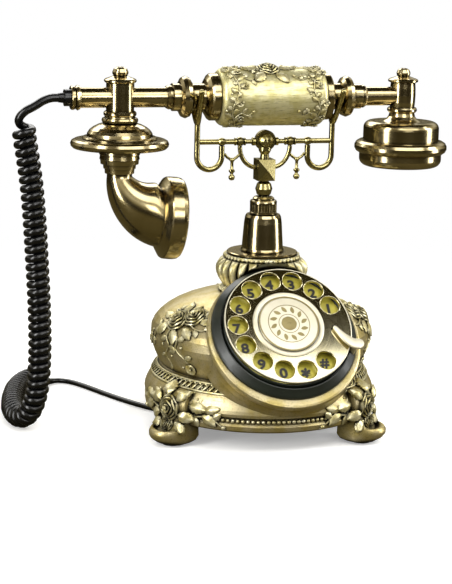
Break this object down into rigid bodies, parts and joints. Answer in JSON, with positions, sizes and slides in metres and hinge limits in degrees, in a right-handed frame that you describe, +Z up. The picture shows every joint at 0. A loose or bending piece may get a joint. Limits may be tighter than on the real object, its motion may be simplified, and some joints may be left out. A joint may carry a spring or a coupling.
{
  "type": "telephone",
  "caption": "Ornate cradle telephone with a slanted rotary dial, scroll feet, a turned column with a forked cradle, and a lever-type handset on a curly cord.",
  "frame": {"origin": "on the table, under the axis of the column", "axes": "+X to the right as the user faces the dial, along the handset; -Y to the front, where the dial faces; +Z up"},
  "size_m": [0.3177, 0.2328, 0.2588],
  "materials": {
    "painted_resin": "satin antique gold paint",
    "antique_metal": "polished dark champagne plating",
    "antique_brass": "satin aged brass",
    "champagne_metal": "satin champagne plating",
    "black_plastic": "gloss",
    "dial_face": "satin olive lacquer",
    "plain_steel": "plain",
    "ballast_iron": "as cast",
    "gear_brass": "machined",
    "circuit_laminate": "laminate",
    "socket_plastic": "gloss",
    "pad_rubber": "matt",
    "cord_rubber": "gloss sleeve"
  },
  "bodies": {
    "base": {"plinth": "painted_resin", "foot_front_left": "painted_resin", "foot_front_right": "painted_resin", "foot_rear_left": "painted_resin", "foot_rear_right": "painted_resin", "foot_pads": "pad_rubber", "bottom_cover": "black_plastic", "cover_screws": "plain_steel", "ballast_weight": "ballast_iron", "loudspeaker": "plain_steel", "circuit_board": "circuit_laminate", "line_jack": "socket_plastic", "cord_gland": "black_plastic", "body_shell": "painted_resin", "gadroon_collar": "painted_resin", "collar_plate": "antique_metal", "column_cone": "antique_metal", "column_nut": "antique_metal", "hook_bracket": "plain_steel", "hook_switch": "black_plastic", "cradle_spring": "plain_steel", "dial_cup": "black_plastic", "number_plate": "dial_face", "dial_chassis": "plain_steel", "return_spring": "plain_steel", "button_switch": "black_plastic", "finger_stop": "champagne_metal", "cord_curl_hanging": "cord_rubber", "cord_curl_lying": "cord_rubber", "cord_tail_base": "cord_rubber"},
    "finger_wheel": {"finger_wheel": "champagne_metal", "centre_ring": "champagne_metal", "dial_shaft": "plain_steel", "drive_gear": "gear_brass"},
    "governor": {"governor": "gear_brass"},
    "speaker_button": {"speaker_button": "champagne_metal"},
    "cradle": {"cradle_stem": "antique_brass", "cradle_bar": "antique_brass", "cradle_frame_left": "antique_brass", "cradle_frame_right": "antique_brass", "pendants": "antique_brass"},
    "hook_lever": {"hook_lever": "plain_steel"},
    "handset": {"grip_barrel": "painted_resin", "tie_tube": "plain_steel", "neck_left": "antique_metal", "neck_right": "antique_metal", "tube_left": "antique_metal", "tube_right": "antique_metal", "mouth_sleeve": "antique_metal", "mouth_dome": "antique_metal", "mouth_neck": "antique_metal", "mouth_elbow": "antique_metal", "mouth_rim": "antique_metal", "microphone": "black_plastic", "ear_sleeve": "antique_metal", "ear_cup": "antique_metal", "ear_cap": "antique_metal", "receiver_capsule": "plain_steel", "strain_relief": "cord_rubber", "cord_tail_top": "cord_rubber"}
  },
  "joints": [
    {"name": "handset_lift", "type": "slide", "parent": "base", "child": "handset", "axis": [0, 0, 1], "range_m": [0, 0.08]},
    {"name": "cradle_travel", "type": "slide", "parent": "base", "child": "cradle", "axis": [0, 0, 1], "range_m": [0, 0.006], "deforming": ["cradle_spring"]},
    {"name": "hook_lever_tilt", "type": "hinge", "parent": "base", "child": "hook_lever", "pos_m": [-0.011, 0, 0.0886], "axis": [0, -1, 0], "range_deg": [0, 22]},
    {"name": "dial_turn", "type": "hinge", "parent": "base", "child": "finger_wheel", "pos_m": [0, -0.066, 0.088], "axis": [0, -0.7314, 0.682], "range_deg": [-326, 0], "stiffness_Nm_per_rad": 0.01, "springref_deg": 11.46},
    {"name": "governor_spin", "type": "hinge", "parent": "base", "child": "governor", "pos_m": [0, -0.02749, 0.08531], "axis": [0, -0.7314, 0.682], "range_deg": [0, 1310]},
    {"name": "button_press", "type": "slide", "parent": "base", "child": "speaker_button", "axis": [0, -0.7314, 0.682], "range_m": [-0.0012, 0], "stiffness_N_per_m": 500, "springref_m": 0.0005}
  ],
  "couplings": [
    {"joint": "cradle_travel", "follows": "handset_lift", "ratio": 0.075},
    {"joint": "hook_lever_tilt", "follows": "handset_lift", "rad_per_m": 4.6},
    {"joint": "governor_spin", "follows": "dial_turn", "ratio": -4}
  ]
}
